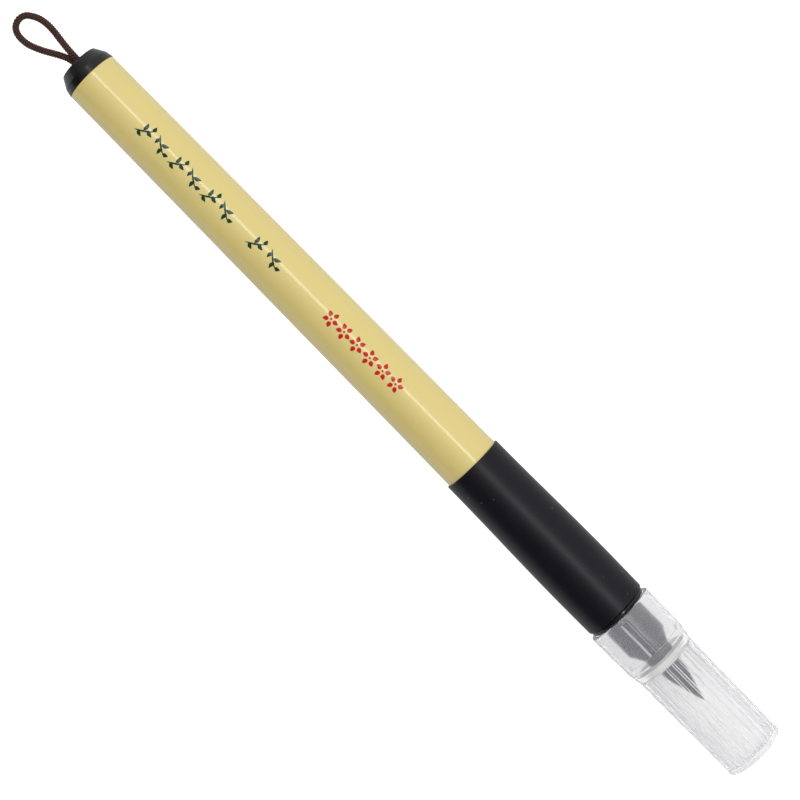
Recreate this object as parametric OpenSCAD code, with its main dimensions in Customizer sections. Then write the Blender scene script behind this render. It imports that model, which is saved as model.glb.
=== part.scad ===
// Capped brush pen with a bristle tip, a fibre ink reservoir and a hanging loop.
// The pen lies along X, tail at -X and cap end at +X, on the plane z = 0.
// The origin is on that plane, under the middle of the pen's length.

/* [Overall] */
// Length from the tail plug's end to the cap's end
overall_l = 180.5; // [178:0.5:185]

/* [Tail plug] */
// Length of the plug that shows behind the barrel
plug_l = 3.6; // [3.3:0.1:4]
// Length of the chamfered part of the plug
plug_chamfer_l = 2.1; // [1.5:0.1:2.5]
// Diameter of the flat end
plug_end_d = 8.2; // [7.6:0.1:8.4]
// Diameter where the chamfer ends
plug_edge_d = 10.3; // [10:0.1:10.4]
// Diameter of the plug beside the barrel
plug_rim_d = 10.85; // [10.7:0.05:11]
// Depth that the spigot reaches into the barrel
plug_spigot_l = 10.6; // [8:0.2:11]
// Thickness of the end wall that the cord passes through
plug_wall = 1.8; // [1.4:0.1:2.2]
// Diameter of the cord hole
cord_hole_d = 2.7; // [2.7:0.1:3.2]

/* [Hanging loop] */
// Diameter of the braided cord
cord_d = 1.3; // [1:0.05:1.3]
// Diameter of the knot behind the end wall
knot_d = 4.4; // [4:0.1:5]

/* [Barrel] */
// Length of barrel that shows between plug and grip
barrel_l = 100.6; // [99.8:0.1:102.6]
// Outer diameter at the tail
barrel_tail_d = 10.75; // [10.5:0.05:10.8]
// Outer diameter beside the grip
barrel_grip_d = 11.8; // [11.4:0.1:12]
// Diameter of the bore
barrel_bore_d = 8.8; // [8.7:0.05:8.9]
// Diameter of the seat under the grip sleeve
grip_seat_d = 10.4; // [10.2:0.1:10.6]

/* [Grip sleeve] */
// Length of the rubber sleeve
grip_l = 38.5; // [37.5:0.1:39.3]
// Diameter beside the barrel
grip_start_d = 12.6; // [12.4:0.1:12.8]
// Largest diameter, about three quarters of the way along
grip_swell_d = 13.3; // [13:0.1:13.4]
// Diameter beside the collar
grip_end_d = 13.15; // [12.9:0.05:13.2]

/* [Front section] */
// Width of the black collar between sleeve and cap
collar_l = 1; // [0.95:0.05:1.2]
// Diameter of the collar
collar_d = 12.6; // [12.3:0.1:12.6]
// Diameter of the neck inside the cap
neck_d = 8.8; // [8.6:0.1:8.9]
// Diameter of the nose in front of the cone
nose_d = 5.7; // [5.6:0.05:5.7]

/* [Ink feed] */
// Diameter of the fibre wadding
reservoir_d = 7.7; // [7.4:0.05:7.7]
// Wall of the film around the wadding
film_wall = 0.1; // [0.08:0.01:0.12]
// Length of the wadding
reservoir_l = 113; // [100:1:113]
// Diameter of the feed rod
feed_rod_d = 2; // [1.8:0.05:2]

/* [Brush] */
// Diameter of the bristle bundle inside the nose
tuft_root_d = 4; // [3.9:0.05:4]
// Largest diameter of the free bristles
tuft_belly_d = 4.9; // [4.5:0.05:5]
// Length of bristle that stands out of the nose
tuft_l = 10; // [9:0.5:13]

/* [Cap] */
// Diameter at the mouth
cap_mouth_d = 14; // [13.9:0.05:14.1]
// Diameter at the end of the skirt
cap_skirt_d = 13.75; // [13.6:0.05:13.85]
// Diameter of the low ring between skirt and body
cap_ring_d = 13.3; // [13.2:0.05:13.4]
// Diameter of the body in front of the step
cap_body_d = 12.85; // [12.7:0.05:12.95]
// Diameter at the closed end
cap_end_d = 12.4; // [12.1:0.05:12.5]
// Length of the skirt, from the mouth to the step
cap_skirt_l = 9.9; // [9.5:0.1:10]
// Length of the stepped ring
cap_step_l = 2.3; // [2.2:0.1:2.5]
// Diameter of the skirt's bore
cap_skirt_bore_d = 12.2; // [12.1:0.05:12.3]
// Diameter of the chamber's bore, over its ribs
cap_chamber_d = 10.4; // [10.2:0.1:10.6]
// Depth of the flutes between the chamber's ribs
flute_depth = 0.25; // [0.15:0.05:0.3]
// Number of flutes in the chamber
flute_count = 24; // [12:1:24]
// Number of guide ribs inside the skirt
guide_count = 2; // [2:1:8]

/* [Hidden] */
$fn = 96;

// Height of the pen's axis: the cap's mouth touches the plane z = 0
axis_z = cap_mouth_d / 2;

// Places along X
tail_x = -overall_l / 2;
barrel_tail_x = tail_x + plug_l;
grip_start_x = barrel_tail_x + barrel_l;
grip_end_x = grip_start_x + grip_l;
cap_mouth_x = grip_end_x + collar_l;
cap_end_x = overall_l / 2;

// Gap left between pieces that are pushed together, overlap used in cuts, and how far
// ribs run into the wall that they stand on
fit = 0.04;
cut = 0.1;
root = 0.2;

// Small chamfer on a spigot's end
lead = 0.4;

// Plug
plug_spigot_x = barrel_tail_x + plug_spigot_l;
plug_cavity_d = 6.6;
plug_end_round = 0.3;
plug_end_turn = -28;
plug_edge = 0.15;
knot_x = tail_x + plug_wall + knot_d / 2;

// Barrel and the air ribs that hold the reservoir clear of the bore
barrel_front_x = grip_end_x - 0.3;
barrel_edge = 0.15;
air_rib_count = 4;
air_rib_w = 0.8;
air_rib_turn = 45;

// Grip sleeve
grip_edge = 0.2;
grip_swell_at = 0.76;
grip_steps = 20;

// Front section
section_rear_x = grip_end_x - 10.5;
collar_gap = 0.05;
collar_edge = 0.25;
collar_round = 1.1;
collar_turn = 65;
neck_x = cap_mouth_x + 0.5;
cone_x = neck_x + 6.75;
nose_x = cone_x + 2.8;
mouth_x = nose_x + 2.9;
heel_seat_x = cone_x - 0.7;
heel_bore_d = 5.2;
mouth_round = 0.3;

// Ink feed
reservoir_x = plug_spigot_x + 0.2;
reservoir_end_x = reservoir_x + reservoir_l;
air_rib_end_x = reservoir_end_x + 0.8;
feed_dip = 10;
feed_tip_x = mouth_x + 4.8;
bush_l = 6.4;
heel_t = 1.2;
heel_x = heel_seat_x - 0.05 - heel_t;
bush_x = heel_x - 0.05 - bush_l;

// Brush
tuft_tip_x = mouth_x + tuft_l;
tuft_flare_l = 1.2;
tuft_steps = 16;
tuft_tip_r = 0.1;
tuft_power = 1.15;

// Cap
cap_lip = 0.35;
cap_inner_lip = 0.2;
cap_shoulder = 0.15;
cap_ring_x = cap_mouth_x + cap_skirt_l + 0.4;
cap_ring_l = 1.25;
cap_ring_draft = 0.04;
cap_end_round = 0.25;
cap_end_wall = 1;
cap_step_x = cap_mouth_x + cap_skirt_l;
cap_body_x = cap_step_x + cap_step_l;
ledge_x = cap_mouth_x + 9.05;
ledge_bore_d = cap_skirt_bore_d - 0.8;
web_x = cap_mouth_x + 11.25;
web_t = 1.5;
web_hole_d = nose_d + 0.2;
flute_x = web_x + web_t + 0.1;
flute_rib_w = 0.42;
flute_turn = 10;
guide_w = 1;
guide_in_d = neck_d + 0.2;
guide_turn = 7.5;
guide_x = cap_mouth_x + 1;

// Hanging loop: points that the cord's centre passes, from the middle of the plug's end face
cord_route = [
    [2.2, 0.34, 0.56], [1.05, 0.34, 0.56], [-0.1, 0.34, 0.56], [-1.25, 0.35, 0.44],
    [-2.38, 0.39, 0.18], [-3.47, 0.46, -0.18], [-4.56, 0.56, -0.59], [-5.64, 0.68, -0.99],
    [-6.73, 0.81, -1.39], [-7.83, 0.92, -1.77], [-8.93, 0.96, -2.18], [-10.02, 0.91, -2.59],
    [-11.08, 0.73, -3.04], [-12.1, 0.39, -3.48], [-13.06, -0.12, -3.9], [-13.91, -0.78, -4.26],
    [-14.35, -1.77, -4.53], [-14.24, -2.86, -4.6], [-13.61, -3.77, -4.45], [-12.64, -4.26, -4.13],
    [-11.57, -4.42, -3.71], [-10.5, -4.39, -3.27], [-9.43, -4.2, -2.83], [-8.39, -3.87, -2.43],
    [-7.37, -3.45, -2.07], [-6.35, -2.97, -1.75], [-5.37, -2.43, -1.45], [-4.38, -1.87, -1.19],
    [-3.38, -1.34, -0.93], [-2.35, -0.87, -0.72], [-1.24, -0.56, -0.58], [-0.1, -0.42, -0.52],
    [1.05, -0.42, -0.52], [2.2, -0.42, -0.52]
];
cord_sides = 8;
cord_rings_per_span = 2;

// Stands what is drawn along Z on the pen's axis, with Z turned to +X
module along_pen() {
    translate([0, 0, axis_z]) rotate([0, 90, 0]) children();
}

// A solid of revolution from [radius, x] points
module turned(points) {
    rotate_extrude() polygon(points);
}

// A round rod or hole of diameter d from x0 to x1
module rod(d, x0, x1) {
    translate([0, 0, x0]) cylinder(d = d, h = x1 - x0);
}

// Radial bars of width w from the axis out to radius r, the first at turn from the top
module bars(count, w, r, x0, x1, turn) {
    for (i = [0 : count - 1])
        rotate([0, 0, 180 + turn + i * 360 / count])
            translate([0, -w / 2, x0])
                cube([r, w, x1 - x0]);
}

// Points of an arc about [cr, cx], from angle a0 to a1
function arc(cr, cx, r, a0, a1, n = 6) =
    [for (i = [0 : n]) let (a = a0 + (a1 - a0) * i / n) [cr + r * cos(a), cx + r * sin(a)]];

// Value between a and b at share s
function mix(a, b, s) = a + (b - a) * s;

// Radius of the sleeve at share s of its length: it swells smoothly, then draws in a little
function grip_r(s) =
    s < grip_swell_at
        ? mix(grip_start_d, grip_swell_d, (1 - cos(180 * s / grip_swell_at)) / 2) / 2
        : mix(grip_swell_d, grip_end_d, 1 - cos(90 * (s - grip_swell_at) / (1 - grip_swell_at))) / 2;

// Radius of the free bristles at share s of their length
function tuft_r(s) = mix(tuft_belly_d / 2, tuft_tip_r, pow(s, tuft_power));

// Point on the smooth curve through points p, between p[i] and p[i + 1], at share s
function on_curve(p, i, s) =
    let (
        a = p[max(i - 1, 0)],
        b = p[i],
        c = p[i + 1],
        d = p[min(i + 2, len(p) - 1)]
    )
    0.5 * (2 * b + (c - a) * s + (2 * a - 5 * b + 4 * c - d) * s * s
        + (3 * b - 3 * c + d - a) * s * s * s);

// The cord's ring centres
function cord_line(p, n) =
    concat(
        [for (i = [0 : len(p) - 2], k = [0 : n - 1]) on_curve(p, i, k / n)],
        [p[len(p) - 1]]
    );

function unit(v) = v / norm(v);

// Direction of a line of points at point i
function heading(line, i) =
    unit(line[min(i + 1, len(line) - 1)] - line[max(i - 1, 0)]);

// Points of the ring round line[i]; one axis of every ring is horizontal
function ring(line, i, r, sides) =
    let (
        t = heading(line, i),
        side = unit(cross([0, 0, 1], t)),
        up = cross(t, side)
    )
    [for (k = [0 : sides - 1]) let (a = 360 * k / sides) line[i] + r * (cos(a) * side + sin(a) * up)];

// A closed tube of radius r along a line of points
module tube(line, r, sides) {
    rings = len(line);
    points = [for (i = [0 : rings - 1]) each ring(line, i, r, sides)];
    walls = [
        for (i = [0 : rings - 2], k = [0 : sides - 1])
            let (j = (k + 1) % sides)
            [i * sides + k, (i + 1) * sides + k, (i + 1) * sides + j, i * sides + j]
    ];
    first_end = [for (k = [0 : sides - 1]) k];
    last_end = [for (k = [sides - 1 : -1 : 0]) (rings - 1) * sides + k];
    polyhedron(points, concat(walls, [first_end, last_end]));
}

// Braided hanging loop, one cord bent back on itself
module cord_loop() {
    color([0.24, 0.14, 0.11])
        translate([tail_x, 0, axis_z])
            tube(cord_line(cord_route, cord_rings_per_span), cord_d / 2, cord_sides);
}

// Knot that holds both cord ends behind the plug's wall
module cord_knot() {
    color([0.22, 0.13, 0.1])
        along_pen()
            translate([0, 0, knot_x]) sphere(d = knot_d);
}

// Tail plug: chamfered cap, cord hole and hollow spigot
module end_plug() {
    color([0.09, 0.09, 0.09])
        along_pen()
            difference() {
                turned(concat(
                    [[0, tail_x]],
                    arc(plug_end_d / 2 - plug_end_round, tail_x + plug_end_round, plug_end_round,
                        -90, plug_end_turn),
                    [
                        [plug_edge_d / 2, tail_x + plug_chamfer_l],
                        [plug_rim_d / 2, barrel_tail_x - plug_edge],
                        [plug_rim_d / 2 - plug_edge, barrel_tail_x],
                        [barrel_bore_d / 2 - fit, barrel_tail_x],
                        [barrel_bore_d / 2 - fit, plug_spigot_x - lead],
                        [barrel_bore_d / 2 - fit - lead, plug_spigot_x],
                        [0, plug_spigot_x]
                    ]
                ));
                rod(plug_cavity_d, tail_x + plug_wall, plug_spigot_x + cut);
                rod(cord_hole_d, tail_x - cut, tail_x + plug_wall + cut);
            }
}

// Barrel: tapered tube with a shoulder and seat for the sleeve, and air ribs in its bore
module barrel() {
    color([0.86, 0.8, 0.55])
        along_pen() {
            difference() {
                turned([
                    [0, barrel_tail_x],
                    [barrel_tail_d / 2 - barrel_edge, barrel_tail_x],
                    [barrel_tail_d / 2, barrel_tail_x + barrel_edge],
                    [barrel_grip_d / 2, grip_start_x],
                    [grip_seat_d / 2, grip_start_x],
                    [grip_seat_d / 2, barrel_front_x],
                    [0, barrel_front_x]
                ]);
                rod(barrel_bore_d, barrel_tail_x - cut, barrel_front_x + cut);
            }
            difference() {
                intersection() {
                    rod(barrel_bore_d + 2 * root, reservoir_x, air_rib_end_x);
                    bars(air_rib_count, air_rib_w, barrel_bore_d, reservoir_x, air_rib_end_x,
                        air_rib_turn);
                }
                rod(reservoir_d + 2 * film_wall + 2 * fit, reservoir_x - cut, air_rib_end_x + cut);
            }
        }
}

// Fibre wadding that holds the ink, with a hole for the feed rod
module reservoir_core() {
    color([0.16, 0.15, 0.2])
        along_pen()
            difference() {
                rod(reservoir_d, reservoir_x, reservoir_end_x);
                rod(feed_rod_d + fit, reservoir_end_x - feed_dip, reservoir_end_x + cut);
            }
}

// Film wrapped round the wadding
module reservoir_film() {
    color([0.8, 0.82, 0.84])
        along_pen()
            difference() {
                rod(reservoir_d + 2 * film_wall, reservoir_x, reservoir_end_x);
                rod(reservoir_d + fit, reservoir_x - cut, reservoir_end_x + cut);
            }
}

// Fibre rod from the wadding into the bristles
module feed_rod() {
    color([0.2, 0.19, 0.22])
        along_pen()
            rod(feed_rod_d, reservoir_end_x - feed_dip + fit, feed_tip_x);
}

// Bush that centres the feed rod and keeps the heel against its seat
module feed_bush() {
    color([0.85, 0.85, 0.83])
        along_pen()
            difference() {
                rod(heel_bore_d - 2 * fit, bush_x, bush_x + bush_l);
                rod(feed_rod_d + 2 * fit, bush_x - cut, bush_x + bush_l + cut);
            }
}

// Front section: spigot, collar, neck, cone and nose, bored for the bush and the bristles
module front_section() {
    color([0.07, 0.07, 0.07])
        along_pen()
            difference() {
                turned(concat(
                    [
                        [0, section_rear_x],
                        [barrel_bore_d / 2 - fit - lead, section_rear_x],
                        [barrel_bore_d / 2 - fit, section_rear_x + lead],
                        [barrel_bore_d / 2 - fit, barrel_front_x],
                        [grip_seat_d / 2, barrel_front_x],
                        [grip_seat_d / 2, grip_end_x + collar_gap],
                        [collar_d / 2 - collar_edge, grip_end_x + collar_gap]
                    ],
                    arc(collar_d / 2 - collar_round, grip_end_x + collar_gap + collar_edge,
                        collar_round, 0, collar_turn, 8),
                    [
                        [neck_d / 2, neck_x],
                        [neck_d / 2, cone_x],
                        [nose_d / 2, nose_x]
                    ],
                    arc(nose_d / 2 - mouth_round, mouth_x - mouth_round, mouth_round, 0, 90),
                    [[0, mouth_x]]
                ));
                rod(heel_bore_d, section_rear_x - cut, heel_seat_x);
                rod(tuft_root_d + 2 * fit, section_rear_x, mouth_x + cut);
            }
}

// Rubber sleeve on the barrel's seat
module grip_sleeve() {
    color([0.15, 0.14, 0.16])
        along_pen()
            difference() {
                turned(concat(
                    [[0, grip_start_x + fit], [grip_start_d / 2 - grip_edge, grip_start_x + fit]],
                    [for (i = [1 : grip_steps - 1])
                        [grip_r(i / grip_steps), mix(grip_start_x, grip_end_x, i / grip_steps)]],
                    arc(grip_end_d / 2 - grip_edge, grip_end_x - grip_edge, grip_edge, 0, 90),
                    [[0, grip_end_x]]
                ));
                rod(grip_seat_d + fit, grip_start_x - cut, grip_end_x + cut);
            }
}

// Fused heel of the bristles, seated inside the front section
module brush_heel() {
    color([0.12, 0.12, 0.14])
        along_pen()
            difference() {
                rod(heel_bore_d - 2 * fit, heel_x, heel_x + heel_t);
                rod(feed_rod_d + 2 * fit, heel_x - cut, heel_x + heel_t + cut);
            }
}

// Bristles: a straight bundle inside the nose, then a long point
module brush_tuft() {
    color([0.11, 0.11, 0.15])
        along_pen()
            difference() {
                turned(concat(
                    [
                        [0, heel_x + heel_t],
                        [tuft_root_d / 2, heel_x + heel_t],
                        [tuft_root_d / 2, mouth_x]
                    ],
                    [for (i = [0 : tuft_steps]) let (s = i / tuft_steps)
                        [tuft_r(s), mix(mouth_x + tuft_flare_l, tuft_tip_x, s)]],
                    [[0, tuft_tip_x]]
                ));
                rod(feed_rod_d + 2 * fit, heel_x, feed_tip_x + fit);
            }
}

// Section through the cap's wall, as [radius, x] points
function cap_wall() =
    let (
        skirt_r = cap_skirt_d / 2,
        skirt_bore_r = cap_skirt_bore_d / 2,
        chamber_r = cap_chamber_d / 2,
        end_r = cap_end_d / 2
    )
    concat(
        arc(skirt_bore_r + cap_inner_lip, cap_mouth_x + cap_inner_lip, cap_inner_lip, -180, -90),
        arc(cap_mouth_d / 2 - cap_lip, cap_mouth_x + cap_lip, cap_lip, -90, 0),
        arc(skirt_r - cap_shoulder, cap_step_x, cap_shoulder, 0, 60),
        [
            [cap_ring_d / 2, cap_ring_x],
            [cap_ring_d / 2 - cap_ring_draft, cap_ring_x + cap_ring_l],
            [cap_body_d / 2, cap_body_x]
        ],
        arc(end_r - cap_end_round, cap_end_x - cap_end_round, cap_end_round, 0, 90),
        [
            [0, cap_end_x],
            [0, cap_end_x - cap_end_wall],
            [chamber_r, cap_end_x - cap_end_wall],
            [chamber_r, web_x + web_t],
            [web_hole_d / 2, web_x + web_t],
            [web_hole_d / 2, web_x],
            [ledge_bore_d / 2, web_x],
            [ledge_bore_d / 2, ledge_x],
            [skirt_bore_r, ledge_x]
        ]
    );

// Cap: skirt with guide ribs, conical step, seal web and fluted chamber
module cap() {
    color([0.88, 0.88, 0.87])
        along_pen() {
            difference() {
                turned(cap_wall());
                difference() {
                    rod(cap_chamber_d + 2 * flute_depth, flute_x, cap_end_x - cap_end_wall);
                    bars(flute_count, flute_rib_w, cap_chamber_d, flute_x - cut, cap_end_x, flute_turn);
                }
            }
            difference() {
                intersection() {
                    rod(cap_skirt_bore_d + 2 * root, guide_x, ledge_x + cut);
                    bars(guide_count, guide_w, cap_skirt_bore_d, cap_mouth_x, ledge_x + cut,
                        guide_turn);
                }
                rod(guide_in_d, cap_mouth_x, web_x);
            }
        }
}

cord_loop();
cord_knot();
end_plug();
barrel();
reservoir_core();
reservoir_film();
feed_rod();
feed_bush();
front_section();
grip_sleeve();
brush_heel();
brush_tuft();
cap();
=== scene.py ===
"""Visual model of a capped brush pen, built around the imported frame.

The pen lies along X with its tail at -X and its cap at +X. Lengths are metres,
most of them written as millimetres times MM, and the cord's route is in millimetres.
"""

import logging
import math
from dataclasses import dataclass, field
from enum import Enum
from functools import cache

import bmesh
import bpy
from mathutils import Matrix, Vector


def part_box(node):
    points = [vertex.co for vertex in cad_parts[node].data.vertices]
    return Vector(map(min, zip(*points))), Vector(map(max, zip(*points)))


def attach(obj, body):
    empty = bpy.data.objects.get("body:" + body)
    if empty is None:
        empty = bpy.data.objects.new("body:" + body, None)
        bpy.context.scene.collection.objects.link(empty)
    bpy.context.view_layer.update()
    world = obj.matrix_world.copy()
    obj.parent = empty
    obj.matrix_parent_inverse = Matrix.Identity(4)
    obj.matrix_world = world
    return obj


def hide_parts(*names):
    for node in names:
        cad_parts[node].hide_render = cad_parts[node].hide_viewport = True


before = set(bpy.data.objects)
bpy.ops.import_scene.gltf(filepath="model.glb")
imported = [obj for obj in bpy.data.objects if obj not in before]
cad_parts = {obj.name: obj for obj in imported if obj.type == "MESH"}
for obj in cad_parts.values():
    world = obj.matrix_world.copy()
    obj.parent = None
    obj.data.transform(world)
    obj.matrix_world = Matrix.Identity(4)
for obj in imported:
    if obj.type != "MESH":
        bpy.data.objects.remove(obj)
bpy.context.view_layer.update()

MM = 0.001
LOG = logging.getLogger("brush_pen")

Point = tuple[float, float]
Colour = tuple[float, float, float]
DUST: Colour = (0.45, 0.44, 0.42)


class Body(str, Enum):
    """Rigid bodies of the frame."""

    PEN = "pen"
    CAP = "cap"


@cache
def node_span(name: str) -> tuple[float, float]:
    """Return the lowest and highest X of a CAD node.

    Args:
        name: the node's name.

    Returns:
        Its two X values at rest.
    """
    low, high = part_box(name)
    return low[0], high[0]


AXIS_Z = (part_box("barrel")[0][2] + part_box("barrel")[1][2]) / 2


# ---------------------------------------------------------------- shader graphs


class NodeGraph:
    """A node tree under construction."""

    def __init__(self, tree: bpy.types.NodeTree) -> None:
        """Keep the tree that the nodes go into."""
        self.tree = tree

    def add(self, kind: str, settings: dict[str, object] | None = None,
            **inputs: object) -> bpy.types.Node:
        """Add a node and fill its inputs.

        Args:
            kind: the node's type name.
            settings: properties of the node.
            inputs: input names, with _ for a space, and their values or the
                sockets that feed them.

        Returns:
            The new node.
        """
        node = self.tree.nodes.new(kind)
        for key, setting in (settings or {}).items():
            setattr(node, key, setting)
        for key, value in inputs.items():
            self.feed(node, key.replace("_", " "), value)
        return node

    def feed(self, node: bpy.types.Node, name: str | int, value: object) -> None:
        """Link a socket to an input, or set the input's value.

        Args:
            node: the node that has the input.
            name: the input's name or number.
            value: an output socket or a plain value.
        """
        socket = node.inputs[name]
        if isinstance(value, bpy.types.NodeSocket):
            self.tree.links.new(value, socket)
        elif socket.type == "RGBA" and len(value) == 3:
            socket.default_value = (*value, 1.0)
        else:
            socket.default_value = value

    def feed_all(self, node: bpy.types.Node, *values: object) -> None:
        """Fill a node's inputs in order, from the first one."""
        for number, value in enumerate(values):
            self.feed(node, number, value)

    def maths(self, operation: str, *values: object, clamp: bool = False) -> bpy.types.NodeSocket:
        """Add a Math node.

        Args:
            operation: the Math node's operation.
            values: sockets or numbers, in order.
            clamp: whether the result is kept from 0 to 1.

        Returns:
            The node's output.
        """
        node = self.add("ShaderNodeMath", {"operation": operation, "use_clamp": clamp})
        self.feed_all(node, *values)
        return node.outputs[0]


class ShaderGraph(NodeGraph):
    """A material, world or shader group under construction."""

    def blend(self, share: object, low: object, high: object) -> bpy.types.NodeSocket:
        """Mix two colours.

        Args:
            share: how much of the second colour shows, from 0 to 1.
            low: colour or socket at share 0.
            high: colour or socket at share 1.

        Returns:
            The mixed colour.
        """
        node = self.add("ShaderNodeMix", {"data_type": "RGBA"})
        for number, value in ((0, share), (6, low), (7, high)):
            self.feed(node, number, value)
        return node.outputs[2]

    def span(self, value: object, low: float, high: float) -> bpy.types.NodeSocket:
        """Map 0 to 1 onto a range.

        Args:
            value: the socket to map.
            low: result at 0.
            high: result at 1.

        Returns:
            The mapped value.
        """
        node = self.add("ShaderNodeMapRange")
        self.feed_all(node, value, 0.0, 1.0, low, high)
        return node.outputs[0]

    def seen(self) -> bpy.types.NodeSocket:
        """Return 1 for rays from the camera and rays through the cap, and 0 for the rest."""
        path = self.add("ShaderNodeLightPath").outputs
        return self.maths("MAXIMUM", path["Is Camera Ray"], path["Is Transmission Ray"])


def shader_group(name: str, inputs: dict[str, float], outputs: list[str]) -> ShaderGraph:
    """Start a shader group with a Vector input and float sockets.

    Args:
        name: the group's name.
        inputs: names and defaults of its float inputs.
        outputs: names of its float outputs.

    Returns:
        A graph with two more fields, entry and exit.
    """
    tree = bpy.data.node_groups.new(name, "ShaderNodeTree")
    tree.interface.new_socket("Vector", in_out="INPUT", socket_type="NodeSocketVector")
    for key, default in inputs.items():
        socket = tree.interface.new_socket(key, in_out="INPUT", socket_type="NodeSocketFloat")
        socket.default_value = default
    for key in outputs:
        tree.interface.new_socket(key, in_out="OUTPUT", socket_type="NodeSocketFloat")
    graph = ShaderGraph(tree)
    graph.entry = tree.nodes.new("NodeGroupInput")
    graph.exit = tree.nodes.new("NodeGroupOutput")
    return graph


def fine_grain_group() -> bpy.types.NodeTree:
    """Build the grain of moulded plastic and rubber.

    Returns:
        A group with the outputs Height, from 0 to 1, and Tone, from 0 to 1.
    """
    graph = shader_group("fine_grain", {"Scale": 2000.0, "Roughness": 0.6}, ["Height", "Tone"])
    put = graph.entry.outputs
    fine = graph.add(
        "ShaderNodeTexNoise", Vector=put["Vector"], Scale=put["Scale"], Detail=3.0,
        Roughness=put["Roughness"],
    )
    broad_scale = graph.maths("MULTIPLY", put["Scale"], 0.04)
    broad = graph.add("ShaderNodeTexNoise", Vector=put["Vector"], Scale=broad_scale, Detail=2.0)
    graph.feed(graph.exit, "Height", fine.outputs[0])
    graph.feed(graph.exit, "Tone", broad.outputs[0])
    return graph.tree


def handling_marks_group() -> bpy.types.NodeTree:
    """Build the faint smears and the sparse dust specks of a handled surface.

    Returns:
        A group with the outputs Smear and Speck, from 0 to 1.
    """
    graph = shader_group("handling_marks", {"Scale": 120.0, "Speck Scale": 900.0, "Sparse": 0.95},
                         ["Smear", "Speck"])
    put = graph.entry.outputs
    along = graph.add("ShaderNodeMapping", Vector=put["Vector"], Scale=(0.35, 1.0, 1.0))
    smear = graph.add("ShaderNodeTexNoise", Vector=along.outputs[0], Scale=put["Scale"], Detail=4.0)
    speck = graph.add("ShaderNodeTexVoronoi", Vector=put["Vector"], Scale=put["Speck Scale"])
    near = graph.maths("MULTIPLY", graph.maths("SUBTRACT", 0.13, speck.outputs["Distance"]), 12.0,
                       clamp=True)
    picked = graph.add("ShaderNodeSeparateColor", Color=speck.outputs["Color"])
    kept = graph.maths("GREATER_THAN", picked.outputs[0], put["Sparse"])
    graph.feed(graph.exit, "Smear", smear.outputs[0])
    graph.feed(graph.exit, "Speck", graph.maths("MULTIPLY", near, kept))
    return graph.tree


def fibre_streaks_group() -> bpy.types.NodeTree:
    """Build streaks that run along X, as fibres and hairs do.

    Returns:
        A group with the outputs Height and Shade, from 0 to 1.
    """
    graph = shader_group("fibre_streaks", {"Scale": 3000.0, "Stretch": 0.04}, ["Height", "Shade"])
    put = graph.entry.outputs
    stretch = graph.add("ShaderNodeCombineXYZ", X=put["Stretch"], Y=1.0, Z=1.0)
    along = graph.add("ShaderNodeMapping", Vector=put["Vector"], Scale=stretch.outputs[0])
    fine = graph.add("ShaderNodeTexNoise", Vector=along.outputs[0], Scale=put["Scale"], Detail=2.0)
    broad_scale = graph.maths("MULTIPLY", put["Scale"], 0.2)
    broad = graph.add("ShaderNodeTexNoise", Vector=along.outputs[0], Scale=broad_scale, Detail=1.0)
    graph.feed(graph.exit, "Height", fine.outputs[0])
    graph.feed(graph.exit, "Shade", broad.outputs[0])
    return graph.tree


class Effects:
    """Shader groups that the finishes share, built once."""

    grain = fine_grain_group()
    marks = handling_marks_group()
    streaks = fibre_streaks_group()


class MaterialGraph(ShaderGraph):
    """A material with a Principled shader."""

    def __init__(self, name: str) -> None:
        """Make the material and find its shader.

        Args:
            name: the material's name.
        """
        self.material = bpy.data.materials.new(name)
        self.material.use_nodes = True
        super().__init__(self.material.node_tree)
        self.shader = next(n for n in self.tree.nodes if n.type == "BSDF_PRINCIPLED")
        self.place = self.tree.nodes.new("ShaderNodeTexCoord").outputs["Object"]

    def set(self, name: str, value: object) -> None:
        """Set or link one input of the shader."""
        self.feed(self.shader, name, value)

    def effect(self, tree: bpy.types.NodeTree, **inputs: float) -> bpy.types.bpy_prop_collection:
        """Place a shared effect.

        Args:
            tree: the effect's group.
            inputs: values for its inputs.

        Returns:
            The outputs of the group.
        """
        node = self.tree.nodes.new("ShaderNodeGroup")
        node.node_tree = tree
        self.feed(node, "Vector", self.place)
        for key, value in inputs.items():
            self.feed(node, key, value)
        return node.outputs

    def bump(self, height: bpy.types.NodeSocket, distance: float, strength: float = 1.0) -> None:
        """Feed a height to the shader's normal.

        Args:
            height: a value from 0 to 1.
            distance: what 1 stands for, in metres.
            strength: how much of the bump shows.
        """
        node = self.add("ShaderNodeBump", Height=height, Distance=distance, Strength=strength)
        self.set("Normal", node.outputs[0])


# ---------------------------------------------------------------- finishes


@dataclass(frozen=True)
class MouldedFinish:
    """Moulded plastic or rubber with a fine grain and handling marks."""

    name: str
    colour: Colour
    roughness: float
    grain_size: float = 0.4 * MM
    grain_height: float = 0.002 * MM
    tone: float = 0.06
    marks: float = 0.05
    coat: float = 0.0
    coat_roughness: float = 0.1
    specular: float = 0.5
    dust: float = 0.0

    def build(self) -> bpy.types.Material:
        """Return the finished material."""
        graph = MaterialGraph(self.name)
        grain = graph.effect(Effects.grain, Scale=1.0 / self.grain_size)
        marks = graph.effect(Effects.marks)
        dark = tuple(c * (1 - self.tone) for c in self.colour)
        light = tuple(min(1.0, c * (1 + self.tone)) for c in self.colour)
        plain = graph.blend(grain["Tone"], dark, light)
        dusted = graph.maths("MULTIPLY", marks["Speck"], self.dust)
        graph.set("Base Color", graph.blend(dusted, plain, DUST))
        graph.set("Roughness", graph.span(marks["Smear"], self.roughness - self.marks,
                                          self.roughness + self.marks))
        graph.bump(grain["Height"], self.grain_height)
        graph.set("Coat Weight", self.coat)
        graph.set("Coat Roughness", self.coat_roughness)
        graph.set("Specular IOR Level", self.specular)
        return graph.material


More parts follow.
